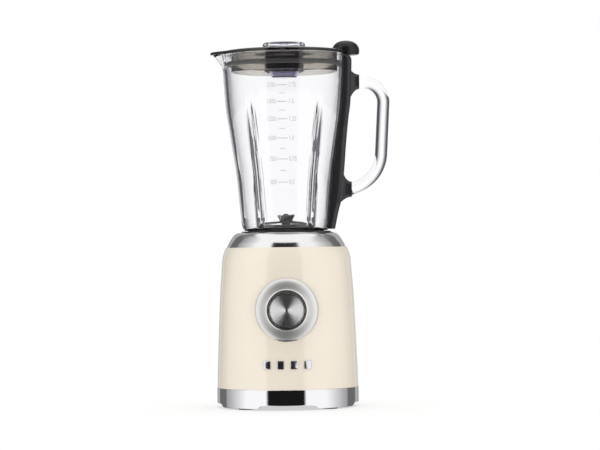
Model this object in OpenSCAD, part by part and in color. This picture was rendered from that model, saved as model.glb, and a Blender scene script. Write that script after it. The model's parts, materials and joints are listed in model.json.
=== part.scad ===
// Countertop blender with a glass jug, modelled as the separate pieces it is assembled from.
// Frame: +Z up, origin on the bench under the middle of the base, -Y front, +X handle side.

/* [Base housing] */
// Radius of the chrome band round the foot of the base
band_r = 81.5; // [80.5:0.5:83]
// Height of the top edge of the chrome band
band_top_z = 23; // [22:0.5:25]
// Height of the seam between the painted shell and the steel collar
shell_top_z = 183; // [183:0.5:184]
// Wall thickness of the painted shell
shell_wall = 2.8; // [2:0.2:3.2]

/* [Feet] */
// Radius of each rubber foot pad
pad_r = 10; // [8:0.5:11]
// Distance of the pads from the middle of the base
pad_circle_r = 66; // [62:1:67]
// Thickness of the pads
pad_h = 5.5; // [5.5:0.5:6]

/* [Speed knob] */
// Height of the knob axis above the bench
knob_z = 112.5; // [112:0.5:115]
// Radius of the dished metal ring round the knob
bezel_r = 35.5; // [35:0.5:37]
// Radius of the black grip of the knob
knob_r = 21; // [19:0.5:21.5]
// Distance of the front of the knob from the middle of the base
knob_front = 100; // [97:0.5:102]

/* [Jug] */
// Height of the glass rim above the bench
rim_z = 404.5; // [404:0.5:406]
// Thickness of the glass wall
glass_wall = 4.5; // [4:0.25:5]
// How far the stirring ribs stand in from the glass wall
rib_depth = 7; // [5:0.5:9]
// Width of each stirring rib
rib_w = 8; // [6:0.5:10]
// Half width of the pouring spout where it leaves the rim
spout_half_w = 20; // [17:1:22]

/* [Handle] */
// Thickness of the glass handle, seen from the front
handle_t = 14; // [12:0.5:15]
// Extra width of the handle from front to back
handle_extra_w = 4; // [0:0.5:5]
// Width of the black spine, front to back, at the rim
spine_w_top = 34; // [28:1:36]
// Width of the black spine, front to back, at the bottom
spine_w_bottom = 22; // [18:1:24]

/* [Blades] */
// Radius swept by the blade tips
blade_tip_r = 27; // [22:1:29]
// Thickness of the blade steel
blade_t = 1.5; // [1.2:0.1:1.8]
// Radius of the blade spindle
spindle_r = 3; // [2.5:0.1:3.2]

/* [Lid] */
// Radius of the lid plate
lid_r = 72; // [71:0.5:73]
// Radius of the filler hole in the middle of the lid
filler_r = 20.5; // [18:0.5:21]

/* [Motor] */
// Radius of the motor shaft
shaft_r = 4; // [3:0.5:4.5]
// Radius of the armature core
armature_r = 20; // [18:0.5:21]
// Height of the laminated core
core_h = 32; // [28:1:34]

/* [Hidden] */

$fn = 96;
// Overlap that lets a cutter break cleanly through a face
cut = 1;
// Radial clearance of a shaft that turns in its bearing
run_gap = 0.03;
// Gap left between the jug, the lid, the cap and what each one lifts out of
lift_gap = 0.3;

// Base plate and the shell's foot inside the band
band_wall = 2;
band_bottom_z = 1.5;
arch_top_z = 5.2;
arch_half_top = 27;
arch_half_bottom = 36.7;
plate_z = pad_h;
plate_t = 3;
lip_z = plate_z + plate_t;
plate_r = band_r - band_wall;
peg_r = 3;
lip_wall = 2.5;
boss_r = 5;
boss_circle_r = 73;
boss_turn = 15;
boss_top_z = 30;
screw_r = 1.6;
screw_head_r = 3.2;
screw_head_h = 2;
screw_l = 16;
screw_cross = 3.6;
screw_cross_w = 0.8;
vent_count = 18;
vent_r_in = 24;
vent_r_out = 35;
vent_w = 3;
post_reach = 32;
post_r = 5;
post_top_z = 48;

// Outline of the painted shell as [radius, height], from the band up to the collar
shell_outline = [
    [band_r - 0.5, band_top_z], [79.4, 72], [78.2, 100], [76.5, 136], [75.3, 150],
    [73.9, 169], [72.8, 174.5], [71.2, 179.5], [69.6, shell_top_z]
];
collar_foot_r = 68.5;
deck_z = 200;
collar_outline = [
    [collar_foot_r, shell_top_z], [65.8, 188.9], [63, 193.5], [61.2, 196], [59.3, 198],
    [57.2, 199.4], [55, deck_z]
];
collar_lip_t = 1.2;
collar_wall = 2.6;

// Socket in the top of the base that the jug stands in
seat_r = 52;
seat_wall = 2.2;
seat_floor_z = shell_top_z;
seat_flange_t = 2.2;
seat_floor_t = 3;
seat_hole_r = 20;
seat_flange_r = 62;
shell_ledge_r = 56;
seat_screw_r = 59;
seat_screw_head_r = 2.4;
seat_screw_head_h = 1.6;
ledge_t = 3;
key_count = 4;
key_w = 8;
key_depth = 2;
key_h = 12;

// Motor
motor_mid_z = 102;
core_z = motor_mid_z - core_h / 2;
stator_w = 66;
stator_d = 58;
stator_round_r = 40;
pole_gap = 0.6;
coil_window_x = armature_r + 2;
coil_window_w = 10;
coil_window_l = 34;
coil_over = 7;
coil_x = armature_r + 4;
coil_w = 5.4;
coil_l = 33;
coil_bore_gap = 1.2;
bracket_t = 4;
lower_bracket_z = 56;
upper_bracket_z = 132;
bracket_arm_w = 14;
bracket_rim = 5;
upper_arm_reach = 40;
hub_wall = 2.5;
bearing_r = 9;
bearing_h = 8;
lower_bearing_z = lower_bracket_z - bearing_h + bracket_t;
tie_x = 27;
tie_y = 23;
tie_r = 2;
nut_r = 3.6;
tie_head_h = 2.4;
tie_nut_h = 3;
damper_r = 6.5;
damper_h = 8;
damper_waist = 1.5;
commutator_r = 11;
commutator_z = 65;
commutator_h = 12;
commutator_bars = 12;
brush_w = 6;
brush_l = 12;
brush_x = 16;
holder_l = 22;
holder_wall = 1.2;
holder_gap = 1.5;
fan_r = 30;
fan_z = 36;
fan_h = 12;
fan_blades = 10;
fan_disc_t = 1.6;
fan_hub_r = 10;
fan_blade_l = 19;
fan_blade_turn = 18;
shaft_bottom_z = 34;

// Control board and the rails that hold its edges
board_w = 52;
board_y = 46;
board_z = 60;
board_h = 44;
board_t = 1.6;
rail_w = 4;
rail_d = 6;
rail_over = 14;

// Couplers
coupler_z = seat_floor_z + seat_floor_t + 0.6;
coupler_h = 9;
coupler_r = 7.5;
coupler_flange_r = 13;
coupler_flange_h = 10;
coupler_tooth_r = 10.5;
coupler_teeth = 6;
coupler_tooth_w = 3.6;
mesh_gap = 0.35;
driven_r = 14.5;
driven_z = coupler_z + 0.8;
driven_h = 11;

// Knob, bezel and switch, measured out from the middle of the base along -Y
bezel_hole_r = knob_r + 0.6;
bezel_front = 84.6;
knob_back = 80.6;
knob_rim = 1.4;
face_t = 1;
face_dish = 0.25;
knob_edge = 0.6;
knob_shoulder = 2.2;
knob_post_r = 3;
switch_front = 72;
switch_d = 20;
switch_w = 30;
switch_back = 4;
spindle_end_gap = 0.2;
bush_r = 6;
bush_l = 7.5;
knob_socket_l = 12;

// Row of plain metal badges
badge_count = 4;
badge_pitch = 15.4;
badge_w = 8.4;
badge_h = 9.4;
badge_z = 51;
badge_proud = 1.6;

// Cord gland
gland_z = 36;
gland_r = 6;
gland_bore_r = 3.6;
gland_flange_r = 9;
gland_in_y = 72;
gland_flange_y = 76;
gland_out_y = 84;
// Distance that starts a cutter well inside the shell, and its length through the wall
wall_in = 60;
wall_through = 30;

// Jug: outside of the glass as [radius, height], from the neck up to the rim
neck_r = 44;
neck_wall = 5;
neck_z = 193.5;
heel_z = 202;
floor_top_z = 205;
floor_fillet = 7;
glass_outline = [
    [46.5, heel_z], [49.2, 204.4], [50.9, 209], [52.2, 222], [54.5, 247], [56.8, 270],
    [60.3, 293], [63.7, 316], [67.2, 339], [69.2, 362], [70.6, 385], [71.5, rim_z]
];
floor_r = neck_r - neck_wall;
jar_ring_r = seat_r - lift_gap;
jar_ring_z = seat_floor_z + seat_floor_t + lift_gap;
jar_ring_t = 3.5;
jar_ring_hole_r = 30;
rib_angles = [-128, -52, 52, 128];
rib_foot_z = 209;
rib_mid_z = 300;
rib_top_z = 350;

// Spout and handle, with the handle's centre line in the X-Z plane
spout_tip_x = -84;
spout_foot_z = 388;
spout_root_x = -62;
spout_tip_r = 7;
spout_edge_r = 4;
spout_band = 2;
spout_wall = 3;
handle_top_z = 372;
handle_bend_x = 90.1;
handle_bend_r = 23.5;
handle_lean = 3.2;
handle_run = 58;
handle_lower_r = 42;
handle_lower_turn = 64.8;
handle_tail = 15;
seam_w = 0.8;
seam_proud = 0.15;
handle_start_x = 76;

// Blade unit
blade_base_r = floor_r - 0.9;
blade_base_wall = 1.5;
flange_z = jar_ring_z + jar_ring_t;
flange_t = 1.5;
gasket_z = flange_z + flange_t;
blade_base_top_z = 209.5;
hub_top_z = 210.5;
bush_outer_r = 5.5;
blade_hub_r = 7.5;
washer_gap = 0.1;
blade_z = 212.2;
spindle_top_z = 220;

// Lid
lid_z = rim_z + lift_gap;
lid_t = 4.2;
lid_skirt_r = 61;
lid_skirt_z = 384;
lid_skirt_wall = 2.5;
chimney_wall = 2;
lid_crown = 0.6;
spout_cover = 1;
seal_z = 391;
seal_h = 5;
seal_edge = 1.2;
seal_gap = 0.4;
cap_flange_r = 24.5;
cap_wall = 1.8;
cap_taper_z = 390;
cap_depth_z = 378;
cap_depth_r = 14;
cap_flange_h = 8.4;
cap_floor_t = 2;
tab_x = 71;
tab_r = 15.8;
tab_top_z = 420;
tab_dome_r = 22;
tab_hook = 1.5;

// Driven values for the sweep of the handle
upper_bend = [handle_bend_x, handle_top_z - handle_bend_r];
bend_end = [
    upper_bend[0] + handle_bend_r * cos(handle_lean),
    upper_bend[1] - handle_bend_r * sin(handle_lean)
];
run_end = [
    bend_end[0] - handle_run * sin(handle_lean),
    bend_end[1] - handle_run * cos(handle_lean)
];
lower_bend = [
    run_end[0] - handle_lower_r * cos(handle_lean),
    run_end[1] + handle_lower_r * sin(handle_lean)
];
tail_angle = handle_lean + handle_lower_turn;
tail_start = [
    lower_bend[0] + handle_lower_r * cos(tail_angle),
    lower_bend[1] - handle_lower_r * sin(tail_angle)
];
tail_slope = 90 - tail_angle;

// Radius of an outline at a height, by straight-line interpolation
function radius_at(outline, z, i = 0) =
    i >= len(outline) - 2 || z <= outline[i + 1][1]
    ? outline[i][0] + (z - outline[i][1]) * (outline[i + 1][0] - outline[i][0])
        / (outline[i + 1][1] - outline[i][1])
    : radius_at(outline, z, i + 1);

// An outline moved inwards by a distance
function inset(outline, by) = [for (p = outline) [p[0] - by, p[1]]];

// The points of an outline in reverse order
function reversed(points) = [for (i = [len(points) - 1:-1:0]) points[i]];

// Upright round bar standing on a point
module bar(at, r, h) {
    translate(at) cylinder(r = r, h = h);
}

// Upright cutter that breaks out of both ends of the bar of the same size
module bore(at, r, h) {
    translate([at[0], at[1], at[2] - cut]) cylinder(r = r, h = h + 2 * cut);
}

// The four corners of a rectangle round the motor axis, at one height
function corners(x, y, z) = [for (sx = [-1, 1], sy = [-1, 1]) [sx * x, sy * y, z]];

// Ring of revolution between two radii and two heights
module ring(r_out, r_in, z, h) {
    difference() {
        bar([0, 0, z], r_out, h);
        bore([0, 0, z], r_in, h);
    }
}

// Stand a shape drawn along +Z on the knob axis, pointing out of the front of the base
module on_knob_axis(distance) {
    translate([0, -distance, knob_z]) rotate([90, 0, 0]) children();
}

// Stand a shape drawn along +Z on the gland's axis, pointing out of the back of the base
module on_gland_axis(distance) {
    translate([0, distance, gland_z]) rotate([-90, 0, 0]) children();
}

// Repeat a shape round the Z axis
module around(count, turn = 0) {
    for (i = [0:count - 1]) rotate(turn + i * 360 / count) children();
}

// Solid of the painted shell's outside, for trimming what lies on it
module shell_solid(grow = 0) {
    rotate_extrude() polygon(concat(
        [[0, band_top_z]], inset(shell_outline, -grow), [[0, shell_top_z]]
    ));
}

// ---- Base housing ----

module foot_pads() {
    chamfer = 1;
    color("#2b2b2b") around(4, 45) translate([pad_circle_r, 0, 0]) {
        rotate_extrude() polygon([
            [0, 0], [pad_r - chamfer, 0], [pad_r, chamfer], [pad_r, pad_h], [0, pad_h]
        ]);
        bar([0, 0, pad_h], peg_r, plate_t);
    }
}

module base_plate() {
    color("#1d1d1f") difference() {
        union() {
            bar([0, 0, plate_z], plate_r, plate_t);
            for (at = corners(post_reach, post_reach, plate_z)) bar(at, post_r, post_top_z - plate_z);
            for (x = [-board_w / 2 - rail_w, board_w / 2])
                translate([x, board_y - (rail_d - board_t) / 2, plate_z])
                    cube([rail_w, rail_d, board_z + rail_over - plate_z]);
        }
        around(vent_count) translate([vent_r_in, -vent_w / 2, plate_z - cut])
            cube([vent_r_out - vent_r_in, vent_w, plate_t + 2 * cut]);
        around(4, 45) bore([pad_circle_r, 0, plate_z], peg_r, plate_t);
        around(4, boss_turn) {
            bore([boss_circle_r, 0, plate_z], screw_r, plate_t);
            bar([boss_circle_r, 0, plate_z - cut], screw_head_r, screw_head_h + cut);
        }
    }
}

module base_screws() {
    cross_depth = 1;
    color("#b9bcc0") around(4, boss_turn) translate([boss_circle_r, 0, plate_z]) {
        difference() {
            cylinder(r = screw_head_r, h = screw_head_h);
            for (a = [0, 90]) rotate(a) translate([-screw_cross / 2, -screw_cross_w / 2, -cut])
                cube([screw_cross, screw_cross_w, cross_depth + cut]);
        }
        cylinder(r = screw_r, h = screw_l);
    }
}

module base_band() {
    edge = 0.6;
    color("#c9ccd0") difference() {
        rotate_extrude() polygon([
            [plate_r, band_bottom_z], [band_r - edge, band_bottom_z], [band_r, band_bottom_z + edge],
            [band_r, band_top_z - edge], [band_r - edge, band_top_z], [plate_r, band_top_z]
        ]);
        for (turn = [0, 90]) rotate([90, 0, turn]) translate([0, 0, -band_r - cut])
            linear_extrude(2 * (band_r + cut)) polygon([
                [-arch_half_bottom, band_bottom_z - cut], [arch_half_bottom, band_bottom_z - cut],
                [arch_half_bottom, band_bottom_z], [arch_half_top, arch_top_z],
                [-arch_half_top, arch_top_z], [-arch_half_bottom, band_bottom_z]
            ]);
    }
}

module body_shell() {
    inner = inset(shell_outline, shell_wall);
    ledge_z = shell_top_z - ledge_t;
    slope_z = ledge_z - 1;
    color("#eadfc8") difference() {
        union() {
            rotate_extrude() polygon(concat(
                [[plate_r, lip_z], [plate_r, band_top_z]], shell_outline,
                [[shell_ledge_r, shell_top_z], [shell_ledge_r, ledge_z]],
                [[radius_at(inner, slope_z), slope_z]],
                [for (i = [len(inner) - 3:-1:0]) inner[i]], [[plate_r - lip_wall, lip_z]]
            ));
            around(4, boss_turn) bar([boss_circle_r, 0, lip_z], boss_r, boss_top_z - lip_z);
        }
        around(4, boss_turn) bar([boss_circle_r, 0, lip_z - cut], screw_r, screw_l + 1 - plate_t + cut);
        around(4) bore([seat_screw_r, 0, ledge_z], screw_r, ledge_t);
        on_knob_axis(wall_in) cylinder(r = bush_r, h = wall_through);
        on_gland_axis(wall_in) cylinder(r = gland_r, h = wall_through);
    }
}

module top_collar() {
    foot_r = collar_foot_r - collar_wall;
    lip_r = seat_r + seat_wall;
    lip_z_low = deck_z - collar_lip_t;
    color("#cfd2d6") rotate_extrude() polygon(concat(
        collar_outline, [[lip_r, deck_z], [lip_r, lip_z_low], [lip_r + 2, lip_z_low]],
        [[foot_r, shell_top_z + 1], [foot_r, shell_top_z]]
    ));
}

module jar_seat() {
    seat_out = seat_r + seat_wall;
    grommet_wall = 2;
    color("#1b1b1d") difference() {
        union() {
            ring(seat_out, seat_r, seat_floor_z, deck_z - seat_floor_z);
            ring(seat_out, seat_hole_r, seat_floor_z, seat_floor_t);
            ring(seat_flange_r, seat_r, shell_top_z, seat_flange_t);
            ring(seat_hole_r + grommet_wall, seat_hole_r, seat_floor_z, seat_floor_t + 0.2);
            intersection() {
                bar([0, 0, seat_floor_z], seat_out, key_h);
                around(key_count, 45) translate([seat_r - key_depth, -key_w / 2, seat_floor_z])
                    cube([key_depth + cut, key_w, key_h]);
            }
        }
        around(4) bore([seat_screw_r, 0, shell_top_z], screw_r, seat_flange_t);
    }
}

module seat_screws() {
    shank = seat_flange_t + ledge_t;
    color("#b9bcc0") around(4) translate([seat_screw_r, 0, shell_top_z + seat_flange_t]) {
        cylinder(r = seat_screw_head_r, h = seat_screw_head_h);
        bar([0, 0, -shank], screw_r, shank);
    }
}

// ---- Motor ----

module stator_core() {
    color("#8c8f94") difference() {
        translate([0, 0, core_z]) linear_extrude(core_h) difference() {
            intersection() {
                square([stator_w, stator_d], center = true);
                circle(r = stator_round_r);
            }
            circle(r = armature_r + pole_gap);
            for (side = [-1, 1]) translate([side * coil_window_x, 0])
                square([coil_window_w, coil_window_l], center = true);
        }
        for (at = corners(tie_x, tie_y, core_z)) bore(at, tie_r, core_h);
    }
}

module field_coils() {
    coil_z = core_z - coil_over;
    coil_h = core_h + 2 * coil_over;
    color("#a8562a") for (side = [-1, 1]) difference() {
        translate([side * coil_x, 0, coil_z]) linear_extrude(coil_h)
            square([coil_w, coil_l], center = true);
        bore([0, 0, coil_z], armature_r + coil_bore_gap, coil_h);
    }
}

// Cross-shaped motor bracket with a bearing hub in the middle
module motor_bracket(z, hub_z, arm_reach, on_posts) {
    difference() {
        union() {
            translate([0, 0, z]) linear_extrude(bracket_t) {
                for (turn = [45, 135]) rotate(turn) square([2 * arm_reach, bracket_arm_w], center = true);
                square([2 * (tie_x + bracket_rim), 2 * (tie_y + bracket_rim)], center = true);
            }
            bar([0, 0, hub_z], bearing_r + hub_wall, bearing_h);
        }
        bore([0, 0, min(z, hub_z)], bearing_r, bearing_h + bracket_t);
        for (at = corners(tie_x, tie_y, z)) bore(at, tie_r, bracket_t);
        if (on_posts) for (at = corners(post_reach, post_reach, z)) bore(at, screw_r, bracket_t);
    }
}

module lower_motor_bracket() {
    reach = post_reach * sqrt(2) + bracket_arm_w / 2;
    color("#9a9da1") motor_bracket(lower_bracket_z, lower_bearing_z, reach, true);
}

module upper_motor_bracket() {
    color("#9a9da1") motor_bracket(upper_bracket_z, upper_bracket_z, upper_arm_reach, false);
}

module motor_screws() {
    grip = upper_bracket_z + bracket_t - lower_bracket_z;
    color("#b9bcc0") for (at = corners(tie_x, tie_y, lower_bracket_z)) translate(at) {
        cylinder(r = tie_r, h = grip);
        bar([0, 0, -tie_head_h], nut_r, tie_head_h);
        translate([0, 0, grip]) cylinder(r = nut_r, h = tie_nut_h, $fn = 6);
    }
}

module motor_dampers() {
    waist_r = damper_r - damper_waist;
    color("#303032") for (at = corners(post_reach, post_reach, post_top_z)) translate(at) {
        rotate_extrude() polygon([
            [0, 0], [damper_r, 0], [damper_r, damper_h / 2 - damper_waist], [waist_r, damper_h / 2],
            [damper_r, damper_h / 2 + damper_waist], [damper_r, damper_h], [0, damper_h]
        ]);
        bar([0, 0, damper_h], screw_r, bracket_t + 1);
    }
}

module bearing(z) {
    ring(bearing_r, shaft_r + run_gap, z, bearing_h);
}

module lower_bearing() {
    color("#b08d57") bearing(lower_bearing_z);
}

module upper_bearing() {
    color("#b08d57") bearing(upper_bracket_z);
}

module brush_holders() {
    tube_w = brush_w + 2 * holder_wall;
    inside_l = holder_l - 1;
    mid_z = commutator_z + commutator_h / 2;
    color("#b5893f") for (turn = [0, 180]) rotate(turn)
        translate([commutator_r + holder_gap, 0, mid_z]) difference() {
            translate([0, -tube_w / 2, -tube_w / 2]) cube([holder_l, tube_w, tube_w]);
            translate([-cut, -brush_w / 2, -brush_w / 2]) cube([inside_l + cut, brush_w, brush_w]);
        }
}

module carbon_brushes() {
    color("#3a3a3c") difference() {
        for (side = [-1, 1]) translate([side * brush_x, 0, commutator_z + commutator_h / 2])
            cube([brush_l, brush_w, brush_w], center = true);
        bore([0, 0, commutator_z], commutator_r + 0.1, commutator_h);
    }
}

module circuit_board() {
    relay = [14, 9, 12];
    filter = [12, 7, 12];
    capacitor_r = 3;
    capacitor_h = 8;
    color("#2f6b3c") translate([-board_w / 2, board_y, board_z]) {
        cube([board_w, board_t, board_h]);
        translate([6, board_t, 8]) cube(relay);
        translate([30, board_t, 24]) cube(filter);
        for (x = [8, 44]) translate([x, board_t, 36]) rotate([-90, 0, 0])
            cylinder(r = capacitor_r, h = capacitor_h);
    }
}

module selector_switch() {
    back = switch_front - switch_d;
    color("#3d3d40") difference() {
        union() {
            on_knob_axis(back) translate([-switch_w / 2, -switch_w / 2, 0])
                cube([switch_w, switch_w, switch_d]);
            on_knob_axis(switch_front) cylinder(r = bush_r, h = bush_l);
        }
        on_knob_axis(back + switch_back) cylinder(r = knob_post_r + run_gap, h = switch_d + bush_l);
    }
}

// ---- Front trim ----

module knob_bezel() {
    // Front of the ring as [distance in from its rim, distance behind its crest]
    ring_face = [[10, 0], [9, 0], [6, 0.6], [3.5, 1.6], [1.5, 2.8], [0.3, 3.9], [0, 4.8]];
    // Its inner lip as [distance out from the hole, distance behind the crest]
    inner_face = [[0, 3.4], [0.5, 2.7], [1.2, 2.2], [4.2, 0.3]];
    color("#b9babd") difference() {
        on_knob_axis(0) rotate_extrude() polygon(concat(
            [[bezel_hole_r, wall_in]],
            [for (p = inner_face) [bezel_hole_r + p[0], bezel_front - p[1]]],
            [for (p = ring_face) [bezel_r - p[0], bezel_front - p[1]]],
            [[bezel_r, wall_in]]
        ));
        shell_solid();
    }
}

module badges() {
    first_x = -(badge_count - 1) / 2 * badge_pitch - badge_w / 2;
    color("#c4c6c9") difference() {
        intersection() {
            for (i = [0:badge_count - 1])
                translate([first_x + i * badge_pitch, -band_r - 10, badge_z - badge_h / 2])
                    cube([badge_w, wall_through, badge_h]);
            shell_solid(badge_proud);
        }
        shell_solid();
    }
}

module cord_gland() {
    flange_h = gland_out_y - gland_flange_y;
    color("#1b1b1d") difference() {
        union() {
            on_gland_axis(gland_in_y) cylinder(r = gland_r, h = gland_out_y - gland_in_y);
            difference() {
                on_gland_axis(gland_flange_y)
                    cylinder(r1 = gland_flange_r, r2 = gland_flange_r - 1, h = flange_h);
                shell_solid();
            }
        }
        on_gland_axis(wall_in) cylinder(r = gland_bore_r, h = wall_through);
    }
}

// ---- Rotor ----

module motor_shaft() {
    top_z = coupler_z + coupler_h - 1;
    color("#a6a9ad") bar([0, 0, shaft_bottom_z], shaft_r, top_z - shaft_bottom_z);
}

module armature_core() {
    slots = 12;
    slot_w = 1.6;
    slot_depth = 7;
    color("#85888d") translate([0, 0, core_z]) linear_extrude(core_h) difference() {
        circle(r = armature_r);
        circle(r = shaft_r);
        around(slots) translate([armature_r - slot_depth, -slot_w / 2])
            square([slot_depth + cut, slot_w]);
    }
}

module armature_windings() {
    end_h = 7;
    inset_r = 3.5;
    color("#b0602c") for (z = [core_z - end_h, core_z + core_h])
        ring(armature_r - inset_r, shaft_r, z, end_h);
}

module commutator() {
    gap_w = 0.6;
    gap_depth = 1;
    color("#b87333") difference() {
        ring(commutator_r, shaft_r, commutator_z, commutator_h);
        around(commutator_bars) translate([commutator_r - gap_depth, -gap_w / 2, commutator_z - cut])
            cube([gap_depth + cut, gap_w, commutator_h + 2 * cut]);
    }
}

module cooling_fan() {
    root_r = fan_hub_r - 2;
    color("#2a2a2c") difference() {
        union() {
            bar([0, 0, fan_z], fan_r, fan_disc_t);
            bar([0, 0, fan_z], fan_hub_r, fan_h);
            around(fan_blades) translate([root_r, -fan_disc_t / 2, fan_z]) rotate(fan_blade_turn)
                cube([fan_blade_l, fan_disc_t, fan_h - 1]);
        }
        bore([0, 0, fan_z], shaft_r, fan_h);
    }
}

// Star profile shared by the two halves of the coupling
module coupler_star(grow) {
    circle(r = coupler_r + grow);
    intersection() {
        circle(r = coupler_tooth_r + grow);
        around(coupler_teeth) translate([0, -coupler_tooth_w / 2 - grow])
            square([coupler_tooth_r + 2, coupler_tooth_w + 2 * grow]);
    }
}

module drive_coupler() {
    low_z = coupler_z - coupler_flange_h;
    color("#242426") difference() {
        union() {
            translate([0, 0, coupler_z]) linear_extrude(coupler_h) coupler_star(0);
            bar([0, 0, low_z], coupler_flange_r, coupler_flange_h);
        }
        bar([0, 0, low_z - cut], shaft_r, coupler_flange_h + coupler_h - 1 + cut);
    }
}

// ---- Knob ----

module knob_grip() {
    rim_r = knob_r - knob_rim;
    color("#17171a") difference() {
        on_knob_axis(0) rotate_extrude() polygon([
            [0, knob_back], [knob_r - knob_edge, knob_back], [knob_r, knob_back + knob_edge],
            [knob_r, knob_front - knob_shoulder], [knob_r - knob_edge, knob_front - knob_shoulder / 2],
            [rim_r, knob_front],
            [rim_r, knob_front - face_t], [0, knob_front - face_t]
        ]);
        on_knob_axis(knob_back - cut) cylinder(r = knob_post_r, h = knob_socket_l + cut);
    }
}

module knob_face() {
    rim_r = knob_r - knob_rim;
    color("#a9abb0") on_knob_axis(0) rotate_extrude() polygon([
        [0, knob_front - face_t], [rim_r, knob_front - face_t], [rim_r, knob_front - knob_edge / 2],
        [rim_r - knob_edge, knob_front], [0, knob_front - face_dish]
    ]);
}

module knob_spindle() {
    back = switch_front - switch_d + switch_back + spindle_end_gap;
    color("#9a9da1") on_knob_axis(back)
        cylinder(r = knob_post_r, h = knob_back + knob_socket_l - back);
}

// ---- Jug ----

// Solid of the glass outside above the heel, for the ribs to be trimmed to
module glass_outside(by) {
    rotate_extrude() polygon(concat([[0, heel_z]], inset(glass_outline, by), [[0, rim_z]]));
}

// A stirring rib: a tapered wedge that runs down the inside of the wall
module stirring_rib() {
    wall_mid = glass_wall / 2;
    foot_r = radius_at(glass_outline, rib_foot_z);
    mid_r = radius_at(glass_outline, rib_mid_z);
    top_r = radius_at(glass_outline, rib_top_z);
    rotate([90, 0, 0]) translate([0, 0, -rib_w / 2]) linear_extrude(rib_w) polygon([
        [foot_r - wall_mid, rib_foot_z], [foot_r - glass_wall - rib_depth, rib_foot_z],
        [foot_r - glass_wall - rib_depth + 1, rib_foot_z + 20],
        [mid_r - glass_wall - rib_depth * 0.75, rib_mid_z],
        [top_r - glass_wall, rib_top_z], [top_r - wall_mid, rib_top_z]
    ]);
}

// Pouring spout: a trough that reaches out of the rim towards -X
module spout_form(grow) {
    edge_r = spout_edge_r + grow;
    side_y = spout_half_w - spout_edge_r;
    band_z = rim_z - spout_band;
    hull() {
        translate([spout_tip_x + spout_tip_r + 2 - grow, 0, band_z])
            cylinder(r = spout_tip_r + grow, h = spout_band, $fn = 32);
        for (y = [-side_y, side_y]) translate([spout_root_x, y, band_z])
            cylinder(r = edge_r, h = spout_band, $fn = 32);
        translate([spout_root_x, 0, spout_foot_z - grow])
            cylinder(r = edge_r, h = spout_band, $fn = 32);
    }
}

module jar_glass() {
    inner = inset(glass_outline, glass_wall);
    fillet_r = radius_at(inner, floor_top_z + floor_fillet) - floor_r;
    color("#dfe6ea", 0.45) difference() {
        union() {
            rotate_extrude() polygon(concat(
                [[floor_r, neck_z], [neck_r, neck_z], [neck_r, heel_z]], glass_outline,
                [for (i = [len(inner) - 1:-1:3]) inner[i]],
                [for (a = [0:15:90]) [floor_r + fillet_r * cos(a), floor_top_z + fillet_r * (1 - sin(a))]]
            ));
            for (a = rib_angles) rotate(a) stirring_rib();
            difference() {
                spout_form(0);
                glass_outside(glass_wall / 2);
            }
        }
        difference() {
            translate([2, 0, spout_band + 0.2]) spout_form(-spout_wall);
            glass_outside(glass_wall + cut);
        }
    }
}

// Handle cross-section: straight sides front to back, round ends, drawn about the sweep's radius
module handle_section(at = 0, proud = 0) {
    translate([at, 0]) {
        square([handle_t + 2 * proud, handle_extra_w], center = true);
        for (side = [-1, 1]) translate([0, side * handle_extra_w / 2]) circle(r = handle_t / 2 + proud);
    }
}

// Straight length of handle from a point in the X-Z plane, at an angle above +X
module handle_straight(from, heading, length) {
    translate([from[0], 0, from[1]]) rotate([0, 90 - heading, 0]) linear_extrude(length) handle_section();
}

// Faint mould seam where a straight length meets a bend
module handle_seam(at, heading) {
    translate([at[0], 0, at[1]]) rotate([0, 90 - heading, 0]) translate([0, 0, -seam_w / 2])
        linear_extrude(seam_w) handle_section(0, seam_proud);
}

// Bend of the handle about a centre, from one angle above +X to another
module handle_bend(centre, r, from_angle, sweep) {
    translate([centre[0], 0, centre[1]]) rotate([90, 0, 0]) rotate(from_angle)
        rotate_extrude(angle = sweep) handle_section(r);
}

module glass_handle() {
    color("#dfe6ea", 0.45) {
        handle_straight([handle_start_x + 2, handle_top_z], 0, handle_bend_x - handle_start_x - 2);
        handle_bend(upper_bend, handle_bend_r, -handle_lean, 90 + handle_lean);
        handle_straight(run_end, 90 - handle_lean, handle_run);
        handle_bend(lower_bend, handle_lower_r, -tail_angle, handle_lower_turn);
        handle_straight(tail_start, 180 + tail_slope, handle_tail);
        handle_seam([handle_bend_x, handle_top_z], 0);
        handle_seam(bend_end, 90 - handle_lean);
        handle_seam(run_end, 90 - handle_lean);
        handle_seam(tail_start, 180 + tail_slope);
    }
}

// Extrude an outline drawn as [x, z] evenly to the front and back of the X-Z plane
module side_profile(half_w, outline) {
    rotate([90, 0, 0]) translate([0, 0, -half_w]) linear_extrude(2 * half_w) polygon(outline);
}

// Outer edge of the black spine as [distance from the jug axis, height]
spine_outline = [
    [56.4, 203.5], [60.5, 223], [64.6, 240], [68, 274], [70.3, 302], [73.1, 329], [76, 352], [77.7, 397]
];
spine_top_z = 402.6;
spine_low_z = spine_outline[0][1];
// Rounded-off top corner of the same view
spine_crown = [[76.5, 401.5], [73, spine_top_z]];
spine_in_x = 30;
spine_out_x = 90;
// Side views of the ferrules: lower edge, the face that meets the glass, upper edge, end sunk in the spine
upper_ferrule_side = [[75.6, 349], [86, 364], [86, 380.5], [77.3, 387.5], [68, 387.5], [68, 349]];
lower_ferrule_side = [[62.8, 231], [73, 240], [76, 257.5], [68, 271], [56, 271], [56, 231]];
upper_ferrule_w = 26;
lower_ferrule_w = 24;

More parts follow.
